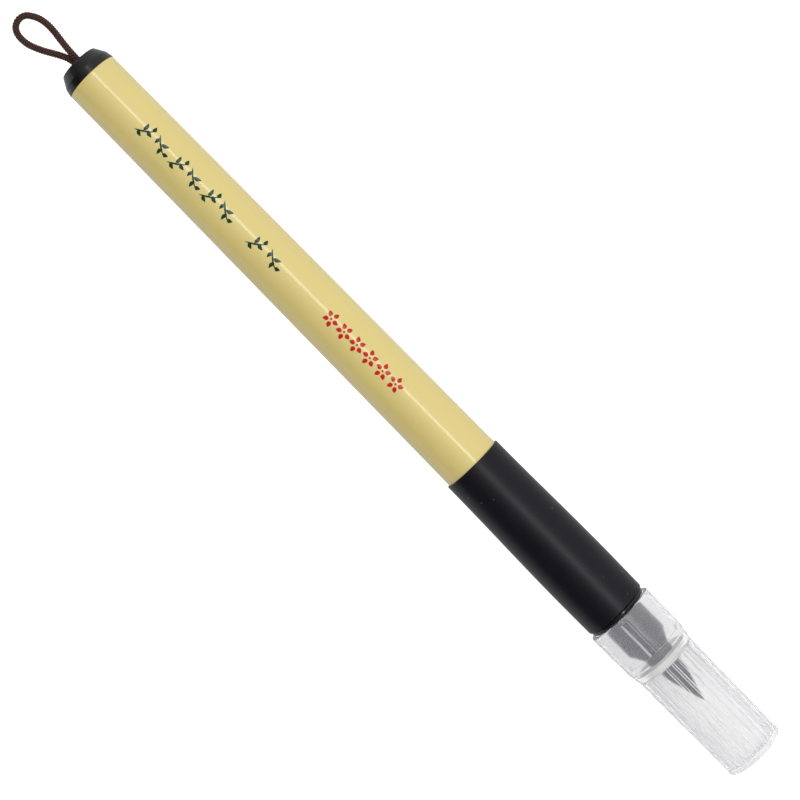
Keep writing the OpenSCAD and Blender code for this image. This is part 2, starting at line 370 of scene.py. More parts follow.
@dataclass(frozen=True)
class FibreFinish:
    """Packed or spun fibres that run along the pen."""

    name: str
    colour: Colour
    roughness: float = 0.8
    fibre_size: float = 0.15 * MM
    depth: float = 0.02 * MM
    contrast: float = 0.35
    sheen: float = 0.1
    patchy: float = 0.1

    def build(self) -> bpy.types.Material:
        """Return the finished material."""
        graph = MaterialGraph(self.name)
        streaks = graph.effect(Effects.streaks, Scale=1.0 / self.fibre_size)
        dark = tuple(c * (1 - self.contrast) for c in self.colour)
        light = tuple(min(1.0, c * (1 + self.contrast)) for c in self.colour)
        graph.set("Base Color", graph.blend(streaks["Shade"], dark, light))
        graph.set("Roughness", graph.span(streaks["Height"], self.roughness - self.patchy,
                                          self.roughness + self.patchy))
        graph.bump(streaks["Height"], self.depth, 0.6)
        graph.set("Sheen Weight", self.sheen)
        return graph.material


@dataclass(frozen=True)
class FrostedFinish:
    """Milky clear plastic that lets a blurred view through."""

    name: str
    colour: Colour
    roughness: float
    transmission: float
    ior: float = 1.45
    marks: float = 0.03
    sheen: float = 0.0
    sheen_tint: Colour = (1.0, 1.0, 1.0)

    def build(self) -> bpy.types.Material:
        """Return the finished material."""
        graph = MaterialGraph(self.name)
        grain = graph.effect(Effects.grain, Scale=1.0 / (0.6 * MM))
        marks = graph.effect(Effects.marks)
        dark = tuple(c * 0.98 for c in self.colour)
        graph.set("Base Color", graph.blend(grain["Tone"], dark, self.colour))
        graph.set("Roughness", graph.span(marks["Smear"], self.roughness - self.marks,
                                          self.roughness + self.marks))
        graph.set("Transmission Weight", self.transmission)
        graph.set("IOR", self.ior)
        graph.set("Sheen Weight", self.sheen)
        graph.set("Sheen Roughness", 1.0)
        graph.set("Sheen Tint", self.sheen_tint)
        return graph.material


class Finish:
    """Materials of the pen, each built once."""

    barrel = MouldedFinish("barrel_gloss_cream", (0.87, 0.71, 0.25), 0.45, tone=0.015,
                           grain_height=0.0001 * MM, coat=0.8, coat_roughness=0.09,
                           specular=0.6).build()
    plug = MouldedFinish("plug_satin_black", (0.006, 0.006, 0.006), 0.27, tone=0.2,
                         specular=0.5, dust=0.3).build()
    section = MouldedFinish("section_gloss_black", (0.006, 0.006, 0.006), 0.14, tone=0.2,
                            grain_height=0.0008 * MM).build()
    rubber = MouldedFinish("grip_soft_rubber", (0.0055, 0.005, 0.0095), 0.39, tone=0.25,
                           grain_size=0.12 * MM, grain_height=0.004 * MM, specular=0.3,
                           dust=0.6).build()
    bush = MouldedFinish("bush_pale", (0.75, 0.75, 0.72), 0.45).build()
    heel = MouldedFinish("fused_heel", (0.02, 0.02, 0.03), 0.4).build()
    wadding = FibreFinish("wadding_inked", (0.03, 0.028, 0.045)).build()
    feed = FibreFinish("feed_inked", (0.04, 0.037, 0.05), fibre_size=0.08 * MM).build()
    bristle = FibreFinish("bristles_inked", (0.012, 0.012, 0.02), 0.42,
                          fibre_size=0.05 * MM, depth=0.004 * MM, sheen=0.0).build()
    yarn = FibreFinish("cord_yarn", (0.075, 0.026, 0.015), 0.62, fibre_size=0.06 * MM,
                       depth=0.01 * MM, contrast=0.5, sheen=0.05).build()
    green_ink = MouldedFinish("print_green", (0.003, 0.048, 0.024), 0.3, tone=0.15, specular=0.2,
                              grain_height=0.0001 * MM, coat=0.35, coat_roughness=0.09).build()
    red_ink = MouldedFinish("print_red", (0.62, 0.010, 0.005), 0.3, tone=0.1, specular=0.2,
                            grain_height=0.0001 * MM, coat=0.35, coat_roughness=0.09).build()
    film = FrostedFinish("film_clear", (0.95, 0.96, 0.97), 0.12, 0.95).build()
    cap = FrostedFinish("cap_frosted_wall", (0.94, 0.937, 0.926), 0.2, 0.885, ior=1.22,
                        marks=0.0, sheen=0.08, sheen_tint=(0.6, 0.6, 1.0)).build()
    seal = FrostedFinish("cap_milky_seal", (1.0, 1.0, 0.99), 0.5, 0.05).build()
    # Painted highlight: a white, nearly opaque finish on the flanks of the cap's flutes and guide
    # ribs, so they show as bright lines where the lights reflect off the rib edges.
    rib_edge_highlight = FrostedFinish("cap_rib_edge", (1.0, 1.0, 1.0), 0.3, 0.2).build()
    # Painted shade: the cord's filling core is near black, so the gaps between the yarns show as
    # dark shade.
    core = FibreFinish("cord_core_gap_shade", (0.006, 0.003, 0.002), 0.8).build()


# ---------------------------------------------------------------- mesh tools


def new_object(name: str, mesh: bpy.types.Mesh) -> bpy.types.Object:
    """Put a mesh into the scene.

    Args:
        name: the object's name.
        mesh: its mesh, already in the row frame.

    Returns:
        The linked object.
    """
    obj = bpy.data.objects.new(name, mesh)
    bpy.context.scene.collection.objects.link(obj)
    return obj


def finish_piece(obj: bpy.types.Object, body: Body, slot: str, *nodes: str,
                 materials: tuple[bpy.types.Material, ...] = ()) -> bpy.types.Object:
    """Attach a piece to its body and hide the CAD nodes that it stands for.

    Args:
        obj: the piece.
        body: the body that it rides on.
        slot: the record's material slot; not used.
        nodes: CAD nodes that it stands for.
        materials: what it is made of, unless its mesh has that already.

    Returns:
        The same piece.
    """
    for material in materials:
        obj.data.materials.append(material)
    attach(obj, body.value)
    if nodes:
        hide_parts(*nodes)
    LOG.info("%s: %d faces on %s", obj.name, len(obj.data.polygons), body.value)
    return obj


def around(x: float, radius: float, turn: float) -> tuple[float, float, float]:
    """Return the point at a distance from the pen's axis, turned from the top."""
    return x, -radius * math.sin(turn), AXIS_Z + radius * math.cos(turn)


def finish_mesh(name: str, shape: bmesh.types.BMesh, smooth: bool = True) -> bpy.types.Object:
    """Turn a shape's faces outwards and put it into the scene.

    Args:
        name: the object's name.
        shape: the shape, which is freed.
        smooth: whether the faces are shaded smooth.

    Returns:
        The new object.
    """
    bmesh.ops.recalc_face_normals(shape, faces=shape.faces)
    mesh = bpy.data.meshes.new(name)
    shape.to_mesh(mesh)
    shape.free()
    mesh.polygons.foreach_set("use_smooth", [smooth] * len(mesh.polygons))
    return new_object(name, mesh)


def line_length(points: list[Vector]) -> float:
    """Return the length of a line through points."""
    return sum((b - a).length for a, b in zip(points, points[1:]))


def arc(centre: Point, radius: float, start: float, end: float, steps: int = 6) -> list[Point]:
    """Points of an arc in the (x, radius) plane.

    Args:
        centre: the arc's centre.
        radius: its radius.
        start: first angle in degrees; 0 points to +X and 90 outwards.
        end: last angle.
        steps: number of spans.

    Returns:
        The points in order.
    """
    angles = [math.radians(start + (end - start) * i / steps) for i in range(steps + 1)]
    return [(centre[0] + radius * math.cos(a), centre[1] + radius * math.sin(a)) for a in angles]


def supported(profile: list[Point], margin: float = 0.06 * MM) -> list[Point]:
    """Add a point just inside both ends of every long span, so smooth shading stays flat.

    Args:
        profile: a profile's points.
        margin: distance of the added points from the span's ends.

    Returns:
        The longer profile.
    """
    points: list[Point] = []
    for (x0, r0), (x1, r1) in zip(profile, profile[1:]):
        points.append((x0, r0))
        length = math.hypot(x1 - x0, r1 - r0)
        if length > 4 * margin:
            for share in (margin / length, 1 - margin / length):
                points.append((x0 + (x1 - x0) * share, r0 + (r1 - r0) * share))
    points.append(profile[-1])
    return points


def revolve(name: str, profile: list[Point], segments: int = 128) -> bpy.types.Object:
    """Turn a profile about the pen's axis into a closed mesh.

    Args:
        name: the object's name.
        profile: (x, radius) points; a profile that starts and ends on the axis
            closes there, and any other is closed from its last point to its first.
        segments: steps round the axis.

    Returns:
        The new object, with faces outwards and smooth shading.
    """
    open_ended = profile[0][1] == 0.0 and profile[-1][1] == 0.0
    points = supported(profile if open_ended else [*profile, profile[0]])
    if not open_ended:
        points = points[:-1]
    shape = bmesh.new()
    turns = [2 * math.pi * k / segments for k in range(segments)]
    rings = []
    for x, radius in points:
        if radius == 0.0:
            rings.append([shape.verts.new((x, 0.0, AXIS_Z))])
        else:
            rings.append([shape.verts.new(around(x, radius, a)) for a in turns])
    pairs = list(zip(rings, rings[1:]))
    if not open_ended:
        pairs.append((rings[-1], rings[0]))
    for first, second in pairs:
        for k in range(segments):
            after = (k + 1) % segments
            corners = [first[k % len(first)], second[k % len(second)],
                       second[after % len(second)], first[after % len(first)]]
            unique = list(dict.fromkeys(corners))
            if len(unique) > 2:
                shape.faces.new(unique)
    return finish_mesh(name, shape)


class GeometryGraph(NodeGraph):
    """A geometry node tree under construction."""

    def __init__(self, name: str) -> None:
        """Start a tree with a geometry input and output.

        Args:
            name: the tree's name.
        """
        super().__init__(bpy.data.node_groups.new(name, "GeometryNodeTree"))
        self.inputs: dict[str, str] = {}
        for way in ("INPUT", "OUTPUT"):
            self.tree.interface.new_socket("Geometry", in_out=way, socket_type="NodeSocketGeometry")
        self.entry = self.add("NodeGroupInput")
        self.exit = self.add("NodeGroupOutput")

    def value(self, name: str, whole: bool = False) -> bpy.types.NodeSocket:
        """Add a named input.

        Args:
            name: the input's name.
            whole: whether it is an integer.

        Returns:
            The socket that gives its value in the tree.
        """
        kind = "NodeSocketInt" if whole else "NodeSocketFloat"
        socket = self.tree.interface.new_socket(name, in_out="INPUT", socket_type=kind)
        self.inputs[name] = socket.identifier
        return self.entry.outputs[name]

    def vector(self, operation: str, *values: object, scale: object = None) -> bpy.types.NodeSocket:
        """Add a Vector Math node and return its vector output."""
        node = self.add("ShaderNodeVectorMath", {"operation": operation})
        self.feed_all(node, *values)
        if scale is not None:
            self.feed(node, "Scale", scale)
        return node.outputs[0]

    def close(self, geometry: bpy.types.NodeSocket, material: bpy.types.Material,
              chosen: bool | bpy.types.NodeSocket = True) -> None:
        """End the tree in Realize Instances and Set Material.

        Args:
            geometry: the finished geometry.
            material: what it is made of.
            chosen: which faces get the material; the others keep theirs.
        """
        real = self.add("GeometryNodeRealizeInstances", Geometry=geometry)
        dressed = self.add("GeometryNodeSetMaterial", Geometry=real.outputs[0], Material=material,
                           Selection=chosen)
        self.tree.links.new(dressed.outputs[0], self.exit.inputs[0])


def grow(name: str, source: bpy.types.Mesh, graph: GeometryGraph, values: dict[str, float],
         smooth: bool = True) -> bpy.types.Object:
    """Run a geometry tree on a mesh and keep the result as a plain mesh.

    Args:
        name: the new object's name.
        source: the mesh that the tree starts from.
        graph: the tree.
        values: values for its named inputs.
        smooth: whether the faces are shaded smooth.

    Returns:
        The new object, with no modifier.
    """
    holder = new_object(name + "_source", source)
    modifier = holder.modifiers.new("grow", "NODES")
    modifier.node_group = graph.tree
    for key, value in values.items():
        modifier[graph.inputs[key]] = value
    depsgraph = bpy.context.evaluated_depsgraph_get()
    mesh = bpy.data.meshes.new_from_object(holder.evaluated_get(depsgraph), depsgraph=depsgraph)
    mesh.name = name
    bpy.data.objects.remove(holder)
    mesh.polygons.foreach_set("use_smooth", [smooth] * len(mesh.polygons))
    return new_object(name, mesh)


def polyline(name: str, points: list[Vector]) -> bpy.types.Mesh:
    """Return a mesh of points joined by edges."""
    mesh = bpy.data.meshes.new(name)
    mesh.from_pydata([tuple(p) for p in points], [(i, i + 1) for i in range(len(points) - 1)], [])
    return mesh


def smooth_line(points: list[Vector], spans: int) -> list[Vector]:
    """Put a smooth curve through points.

    Args:
        points: points that the curve passes.
        spans: pieces between two neighbouring points.

    Returns:
        The curve's points.
    """
    line = []
    for i in range(len(points) - 1):
        a, b = points[max(i - 1, 0)], points[i]
        c, d = points[i + 1], points[min(i + 2, len(points) - 1)]
        for k in range(spans):
            s = k / spans
            line.append(0.5 * (2 * b + (c - a) * s + (2 * a - 5 * b + 4 * c - d) * s * s
                               + (3 * b - 3 * c + d - a) * s ** 3))
    line.append(points[-1])
    return line


# ---------------------------------------------------------------- studio


@dataclass(frozen=True)
class Panel:
    """Soft rectangular light: metres along the pen and across, and watts."""

    name: str
    centre: tuple[float, float, float]
    size: tuple[float, float]
    power: float
    glossy: bool = True


@dataclass
class Studio:
    """Floor, lights and camera."""

    focal: float = 98.55
    distance: float = 409.0 * MM
    lean: float = math.radians(2.2)
    roll: float = math.radians(45.506)
    target: Vector = field(default_factory=lambda: Vector((-3.94 * MM, -1.26 * MM, AXIS_Z)))
    floor_size: float = 6.0
    floor_glow: float = 0.97
    floor_cast: float = 0.3
    room_lean: float = math.radians(75)
    room_span: tuple[float, float] = (-0.55, 0.6)
    room_light: tuple[float, float] = (0.08, 0.68)
    panels: tuple[Panel, ...] = (
        Panel("strip", (0.02, 0.134, 0.555), (0.9, 0.085), 1.15),
        Panel("fill", (0.0, -0.4, 0.55), (0.9, 0.5), 0.9, glossy=False),
    )

    def camera(self) -> bpy.types.Object:
        """Add the camera, looking down on the pen with its tail at the upper left."""
        data = bpy.data.cameras.new("camera")
        data.lens = self.focal
        data.sensor_width = 36.0
        data.clip_start = 0.01
        data.clip_end = 20.0
        cam = bpy.data.objects.new("camera", data)
        bpy.context.scene.collection.objects.link(cam)
        look = Vector((math.sin(self.lean), 0.0, -math.cos(self.lean)))
        along = Vector((math.cos(self.lean), 0.0, math.sin(self.lean)))
        across = Vector((0.0, -1.0, 0.0))
        right = math.cos(self.roll) * along - math.sin(self.roll) * across
        up = -math.sin(self.roll) * along - math.cos(self.roll) * across
        axes = Matrix((right, up, -look)).transposed().to_4x4()
        cam.matrix_world = Matrix.Translation(self.target - self.distance * look) @ axes
        bpy.context.scene.camera = cam
        return cam

    def floor(self) -> bpy.types.Object:
        """Add the pale surface that the cap's mouth and the plug's rim rest on."""
        mouth_x = node_span("cap")[0]
        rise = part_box("end_plug")[0][2] / (mouth_x - node_span("barrel")[0])
        half = self.floor_size / 2
        corners = [(x, y, (mouth_x - x) * rise) for x, y in
                   ((-half, -half), (half, -half), (half, half), (-half, half))]
        mesh = bpy.data.meshes.new("floor")
        mesh.from_pydata(corners, [], [(0, 1, 2, 3)])
        graph = MaterialGraph("floor_white")
        graph.set("Base Color", (0.5, 0.5, 0.5))
        graph.set("Roughness", 0.9)
        graph.set("Specular IOR Level", 0.1)
        graph.set("Emission Color", (1.0, 1.0, 1.0))
        graph.set("Emission Strength", graph.span(graph.seen(), self.floor_cast, self.floor_glow))
        mesh.materials.append(graph.material)
        obj = new_object("floor", mesh)
        return obj

    def hang(self, panel: Panel) -> bpy.types.Object:
        """Add a light that points at the pen's axis.

        Args:
            panel: the light's size, place and power.

        Returns:
            The light.
        """
        data = bpy.data.lights.new(panel.name, "AREA")
        data.shape = "RECTANGLE"
        data.size, data.size_y = panel.size
        data.energy = panel.power
        lamp = bpy.data.objects.new(panel.name, data)
        bpy.context.scene.collection.objects.link(lamp)
        centre, side = Vector(panel.centre), Vector((1.0, 0.0, 0.0))
        away = (centre - Vector((centre.x, 0.0, AXIS_Z))).normalized()
        axes = Matrix((side, away.cross(side), away)).transposed().to_4x4()
        lamp.matrix_world = Matrix.Translation(centre) @ axes
        lamp.visible_glossy = panel.glossy
        return lamp

    def lights(self) -> None:
        """Add the panels and the room."""
        for panel in self.panels:
            self.hang(panel)
        self.room()
        bpy.context.scene.view_settings.view_transform = "Standard"

    def room(self) -> None:
        """Add the pale room, dim on the near side for whatever it lights."""
        world = bpy.data.worlds.new("room")
        world.use_nodes = True
        graph = ShaderGraph(world.node_tree)
        way = graph.add("ShaderNodeTexCoord").outputs["Generated"]
        bright = Vector((0.0, math.sin(self.room_lean), math.cos(self.room_lean)))
        facing = graph.add("ShaderNodeVectorMath", {"operation": "DOT_PRODUCT"})
        graph.feed_all(facing, way, bright)
        ramp = graph.add("ShaderNodeMapRange", {"interpolation_type": "SMOOTHSTEP"})
        graph.feed_all(ramp, facing.outputs["Value"], *self.room_span, *self.room_light)
        background = world.node_tree.nodes["Background"]
        graph.feed(background, "Strength", graph.maths("MAXIMUM", ramp.outputs[0], graph.seen()))
        graph.feed(background, "Color", (1.0, 1.0, 1.0))
        bpy.context.scene.world = world

    def build(self) -> None:
        """Add everything but the pen."""
        self.camera()
        self.floor()
        self.lights()


# ---------------------------------------------------------------- hanging loop


@dataclass
class HangingLoop:
    """Braided cord, bent back on itself, and the knot inside the plug."""

    diameter: float = 1.3 * MM
    outer_radius: float = 0.7 * MM
    lead: float = 2.2 * MM
    yarns: int = 8
    yarn_radius: float = 0.14 * MM
    weave: float = 0.08 * MM
    path_step: float = 0.06 * MM
    knot_steps: int = 240
    route: tuple[tuple[float, float, float], ...] = (
        (2.2, 0.34, 0.56), (1.05, 0.34, 0.56), (-0.1, 0.34, 0.56), (-1.25, 0.35, 0.44),
        (-2.38, 0.39, 0.18), (-3.47, 0.46, -0.18), (-4.56, 0.56, -0.59), (-5.64, 0.68, -0.99),
        (-6.73, 0.81, -1.39), (-7.83, 0.92, -1.77), (-8.93, 0.96, -2.18), (-10.02, 0.91, -2.59),
        (-11.08, 0.73, -3.04), (-12.1, 0.39, -3.48), (-13.06, -0.12, -3.9), (-13.91, -0.78, -4.26),
        (-14.35, -1.77, -4.53), (-14.24, -2.86, -4.6), (-13.61, -3.77, -4.45),
        (-12.64, -4.26, -4.13), (-11.57, -4.42, -3.71), (-10.5, -4.39, -3.27),
        (-9.43, -4.2, -2.83), (-8.39, -3.87, -2.43),
        (-7.37, -3.45, -2.07), (-6.35, -2.97, -1.75), (-5.37, -2.43, -1.45), (-4.38, -1.87, -1.19),
        (-3.38, -1.34, -0.93), (-2.35, -0.87, -0.72), (-1.24, -0.56, -0.58), (-0.1, -0.42, -0.52),
        (1.05, -0.42, -0.52), (2.2, -0.42, -0.52),
    )

    def centreline(self) -> list[Vector]:
        """Return the cord's centreline in the row frame."""
        start = Vector((node_span("end_plug")[0], 0.0, AXIS_Z))
        return smooth_line([start + Vector(p) * MM for p in self.route], 8)

    def braid(self) -> GeometryGraph:
        """Build the tree that winds yarns round a path.

        Returns:
            A tree with the inputs Steps, Yarns, Lead, Radius, Weave and Yarn Radius.
        """
        graph = GeometryGraph("braided_cord")
        steps = graph.value("Steps", whole=True)
        yarns = graph.value("Yarns", whole=True)
        lead = graph.value("Lead")
        radius = graph.value("Radius")
        weave = graph.value("Weave")
        yarn_radius = graph.value("Yarn Radius")
        path = graph.add("GeometryNodeMeshToCurve", Mesh=graph.entry.outputs[0])
        even = graph.add("GeometryNodeResampleCurve", Curve=path.outputs[0], Count=steps)
        copies = graph.add("GeometryNodeDuplicateElements", {"domain": "SPLINE"},
                           Geometry=even.outputs[0], Amount=yarns)
        number = copies.outputs["Duplicate Index"]
        odd = graph.maths("MODULO", number, 2.0)
        way = graph.maths("SUBTRACT", graph.maths("MULTIPLY", odd, 2.0), 1.0)
        per_way = graph.maths("DIVIDE", yarns, 2.0)
        pair = graph.maths("FLOOR", graph.maths("DIVIDE", number, 2.0))
        place = graph.maths("DIVIDE", pair, per_way)
        length = graph.add("GeometryNodeSplineParameter").outputs["Length"]
        turns = graph.maths("DIVIDE", length, lead)
        wound = graph.maths("ADD", place, graph.maths("MULTIPLY", turns, way))
        angle = graph.maths("MULTIPLY", wound, 2 * math.pi)
        crossing = graph.maths("MULTIPLY", graph.maths("MULTIPLY", turns, per_way), 2 * math.pi)
        ripple = graph.maths("MULTIPLY", graph.maths("COSINE", crossing), way)
        reach = graph.maths("ADD", radius, graph.maths("MULTIPLY", ripple, weave))
        normal = graph.add("GeometryNodeInputNormal").outputs[0]
        tangent = graph.add("GeometryNodeInputTangent").outputs[0]
        side = graph.vector("CROSS_PRODUCT", tangent, normal)
        out = graph.vector(
            "ADD",
            graph.vector("SCALE", normal, scale=graph.maths("COSINE", angle)),
            graph.vector("SCALE", side, scale=graph.maths("SINE", angle)),
        )
        moved = graph.add("GeometryNodeSetPosition", Geometry=copies.outputs[0],
                          Offset=graph.vector("SCALE", out, scale=reach))
        outline = graph.add("GeometryNodeCurvePrimitiveCircle", Resolution=6, Radius=yarn_radius)
        yarn = graph.add("GeometryNodeCurveToMesh", Curve=moved.outputs[0],
                         Profile_Curve=outline.outputs[0], Fill_Caps=True)
        core_outline = graph.add("GeometryNodeCurvePrimitiveCircle", Resolution=10, Radius=radius)
        core = graph.add("GeometryNodeCurveToMesh", Curve=even.outputs[0],
                         Profile_Curve=core_outline.outputs[0], Fill_Caps=True)
        both = graph.add("GeometryNodeJoinGeometry")
        # The core's near-black finish is painted shade in the gaps between the yarns.
        for part, finish in ((yarn, Finish.yarn), (core, Finish.core)):
            coloured = graph.add("GeometryNodeSetMaterial", Geometry=part.outputs[0],
                                 Material=finish)
            graph.tree.links.new(coloured.outputs[0], both.inputs[0])
        wound = graph.add("GeometryNodeMaterialSelection", Material=Finish.yarn).outputs[0]
        graph.close(both.outputs[0], Finish.yarn, wound)
        return graph

    def braided(self, name: str, line: list[Vector]) -> bpy.types.Object:
        """Braid a cord along a line.

        Args:
            name: the new object's name.
            line: points of the cord's centreline.

        Returns:
            The braided cord.
        """
        return grow(name, polyline(name + "_path", line), self.braid(), {
            "Steps": int(line_length(line) / self.path_step), "Yarns": self.yarns,
            "Lead": self.lead, "Radius": self.outer_radius - self.weave - self.yarn_radius,
            "Weave": self.weave, "Yarn Radius": self.yarn_radius,
        })

    def build(self) -> bpy.types.Object:
        """Build the cord and its knot, and attach both to the pen."""
        line = self.centreline()
        cord = self.braided("hanging_cord", line)
        finish_piece(cord, Body.PEN, "cord_braid", "cord_loop")
        self.knot()
        return cord

    def knot(self) -> bpy.types.Object:
        """Build the knot that both cord ends are tied in, of the same braid."""
        low, high = (Vector(corner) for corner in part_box("cord_knot"))
        middle, reach = (low + high) / 2, (high.x - low.x) / 2 - self.outer_radius
        across, lift = reach / 3, self.outer_radius
        turns = [2 * math.pi * k / self.knot_steps for k in range(self.knot_steps + 1)]
        line = [middle + Vector((-lift * math.sin(3 * t),
                                 across * (math.sin(t) + 2 * math.sin(2 * t)),
                                 across * (math.cos(t) - 2 * math.cos(2 * t)))) for t in turns]
        knot = self.braided("hanging_cord_knot", line)
        return finish_piece(knot, Body.PEN, "cord_braid", "cord_knot")


def dress(node: str, material: bpy.types.Material) -> None:
    """Give a CAD node that stays a finished material.

    Args:
        node: the node's name.
        material: what it is made of.
    """
    obj = bpy.data.objects[node]
    obj.data.materials.clear()
    obj.data.materials.append(material)
    LOG.info("%s: CAD mesh kept, finish %s", node, material.name)


# ---------------------------------------------------------------- barrel end


@dataclass
class TailPlug:
    """Black plug that closes the barrel and lets the cord through."""

    end_radius: float = 4.1 * MM
    end_round: float = 0.35 * MM
    edge_radius: float = 5.15 * MM
    chamfer: float = 2.1 * MM
    rim_radius: float = 5.425 * MM
    rim_edge: float = 0.15 * MM
    spigot_radius: float = 4.36 * MM
    spigot_lead: float = 0.4 * MM
    wall: float = 1.8 * MM
    cavity_radius: float = 3.3 * MM
    hole_radius: float = 1.35 * MM
    hole_edge: float = 0.15 * MM

    def build(self) -> bpy.types.Object:
        """Build the plug with its hole, cavity and spigot."""
        tail, inner = node_span("end_plug")
        rim = node_span("barrel")[0]
        profile = [
            (tail + self.hole_edge, self.hole_radius),
            (tail, self.hole_radius + self.hole_edge),
            *arc((tail + self.end_round, self.end_radius - self.end_round),
                 self.end_round, 180, 118),
            (tail + self.chamfer, self.edge_radius),
            (rim - self.rim_edge, self.rim_radius),
            (rim, self.rim_radius - self.rim_edge),
            (rim, self.spigot_radius),
            (inner - self.spigot_lead, self.spigot_radius),
            (inner, self.spigot_radius - self.spigot_lead),
            (inner, self.cavity_radius),
            (tail + self.wall, self.cavity_radius),
            (tail + self.wall, self.hole_radius),
        ]
        plug = revolve("tail_plug", profile)
        return finish_piece(plug, Body.PEN, "plug_black", "end_plug",
                            materials=(Finish.plug,))


class Motif(Enum):
    """Kinds of printed ornament on the barrel."""

    SPRIG = "sprig"
    BLOSSOM = "blossom"


@dataclass
class Ornament:
    """A row of small plant motifs printed along the barrel."""

    name: str
    motif: Motif
    finish: bpy.types.Material
    first: float
    pitch: float
    count: int
    size: float
    turn: float = -0.03
    film: float = 0.012 * MM
    sunk: float = 0.01 * MM
    # Side leaves of a sprig: share of the stem, swing in radians, length in sizes.
    twigs: tuple[tuple[float, float, float], ...] = (
        (0.2, 1.15, 0.75), (0.42, -1.0, 0.85), (0.6, 0.95, 0.8), (0.8, -0.85, 0.6))

    def leaf(self, root: Vector, tip: Vector, width: float, bow: float) -> list[list[Vector]]:
        """Lay out a leaf as rows of three points.

        Args:
            root: where the leaf starts, along and round the barrel.
            tip: where it ends.
            width: its greatest width.
            bow: how far its middle bends to one side.

        Returns:
            Rows from root to tip, each with a left, middle and right point.
        """
        along = tip - root
        side = Vector((-along.y, along.x)).normalized()
        rows = []
        for k in range(9):
            s = k / 8
            half = width / 2 * max(math.sin(math.pi * s ** 0.8) ** 0.8, 0.06)
            centre = root + along * s + side * bow * math.sin(math.pi * s)
            rows.append([centre + side * half, centre, centre - side * half])
        return rows

    def sprig(self, number: int) -> list[list[list[Vector]]]:
        """Return the leaves of a sprig; every second one leans the other way."""
        lean = 1 if number % 2 else -1
        size = self.size
        stem = [Vector((-1.0 * size, -0.75 * lean * size)),
                Vector((0.95 * size, 0.7 * lean * size))]
        leaves = [self.leaf(stem[0], stem[1], 0.19 * size, 0.12 * size)]
        for share, swing, length in self.twigs:
            root = stem[0].lerp(stem[1], share)
            heading = math.atan2((stem[1] - stem[0]).y, (stem[1] - stem[0]).x) + swing
            tip = root + Vector((math.cos(heading), math.sin(heading))) * length * size
            leaves.append(self.leaf(root, tip, 0.4 * size, 0.08 * size))
        return leaves

    def blossom(self, number: int) -> list[list[list[Vector]]]:
        """Return the petals and heart of a blossom, each turned a little from the last."""
        petals = []
        for k in range(5):
            angle = 2 * math.pi * (k / 5 + 0.03 * number)
            out = Vector((math.cos(angle), math.sin(angle))) * self.size
            petals.append(self.leaf(out * 0.3, out, 0.52 * self.size, 0.03 * self.size))
        middle = Vector((0.14 * self.size, 0.0))
        petals.append(self.leaf(-middle, middle, 0.26 * self.size, 0.0))
        return petals

    def build(self) -> bpy.types.Object:
        """Build the whole row as a thin closed film on the barrel."""
        shape = bmesh.new()
        surface = Barrel()
        draw = {Motif.SPRIG: self.sprig, Motif.BLOSSOM: self.blossom}[self.motif]
        for number in range(self.count):
            start = node_span("barrel")[0] + self.first + number * self.pitch
            for rows in draw(number):
                rings = []
                for row in rows:
                    ring = []
                    for point in row:
                        x = start + point.x
                        radius = surface.radius(x) - self.sunk
                        angle = self.turn + point.y / radius
                        ring.append(shape.verts.new(around(x, radius, angle)))
                    rings.append(ring)
                for first, second in zip(rings, rings[1:]):
                    for k in range(2):
                        shape.faces.new((first[k], first[k + 1], second[k + 1], second[k]))
        flat = list(shape.faces)
        grown = bmesh.ops.extrude_face_region(shape, geom=flat, use_keep_orig=True)["geom"]
        for vert in (g for g in grown if isinstance(g, bmesh.types.BMVert)):
            out = Vector((0.0, vert.co.y, vert.co.z - AXIS_Z)).normalized()
            vert.co += out * (self.sunk + self.film)
        return finish_piece(finish_mesh(self.name, shape, smooth=False), Body.PEN,
                            "barrel_cream", materials=(self.finish,))


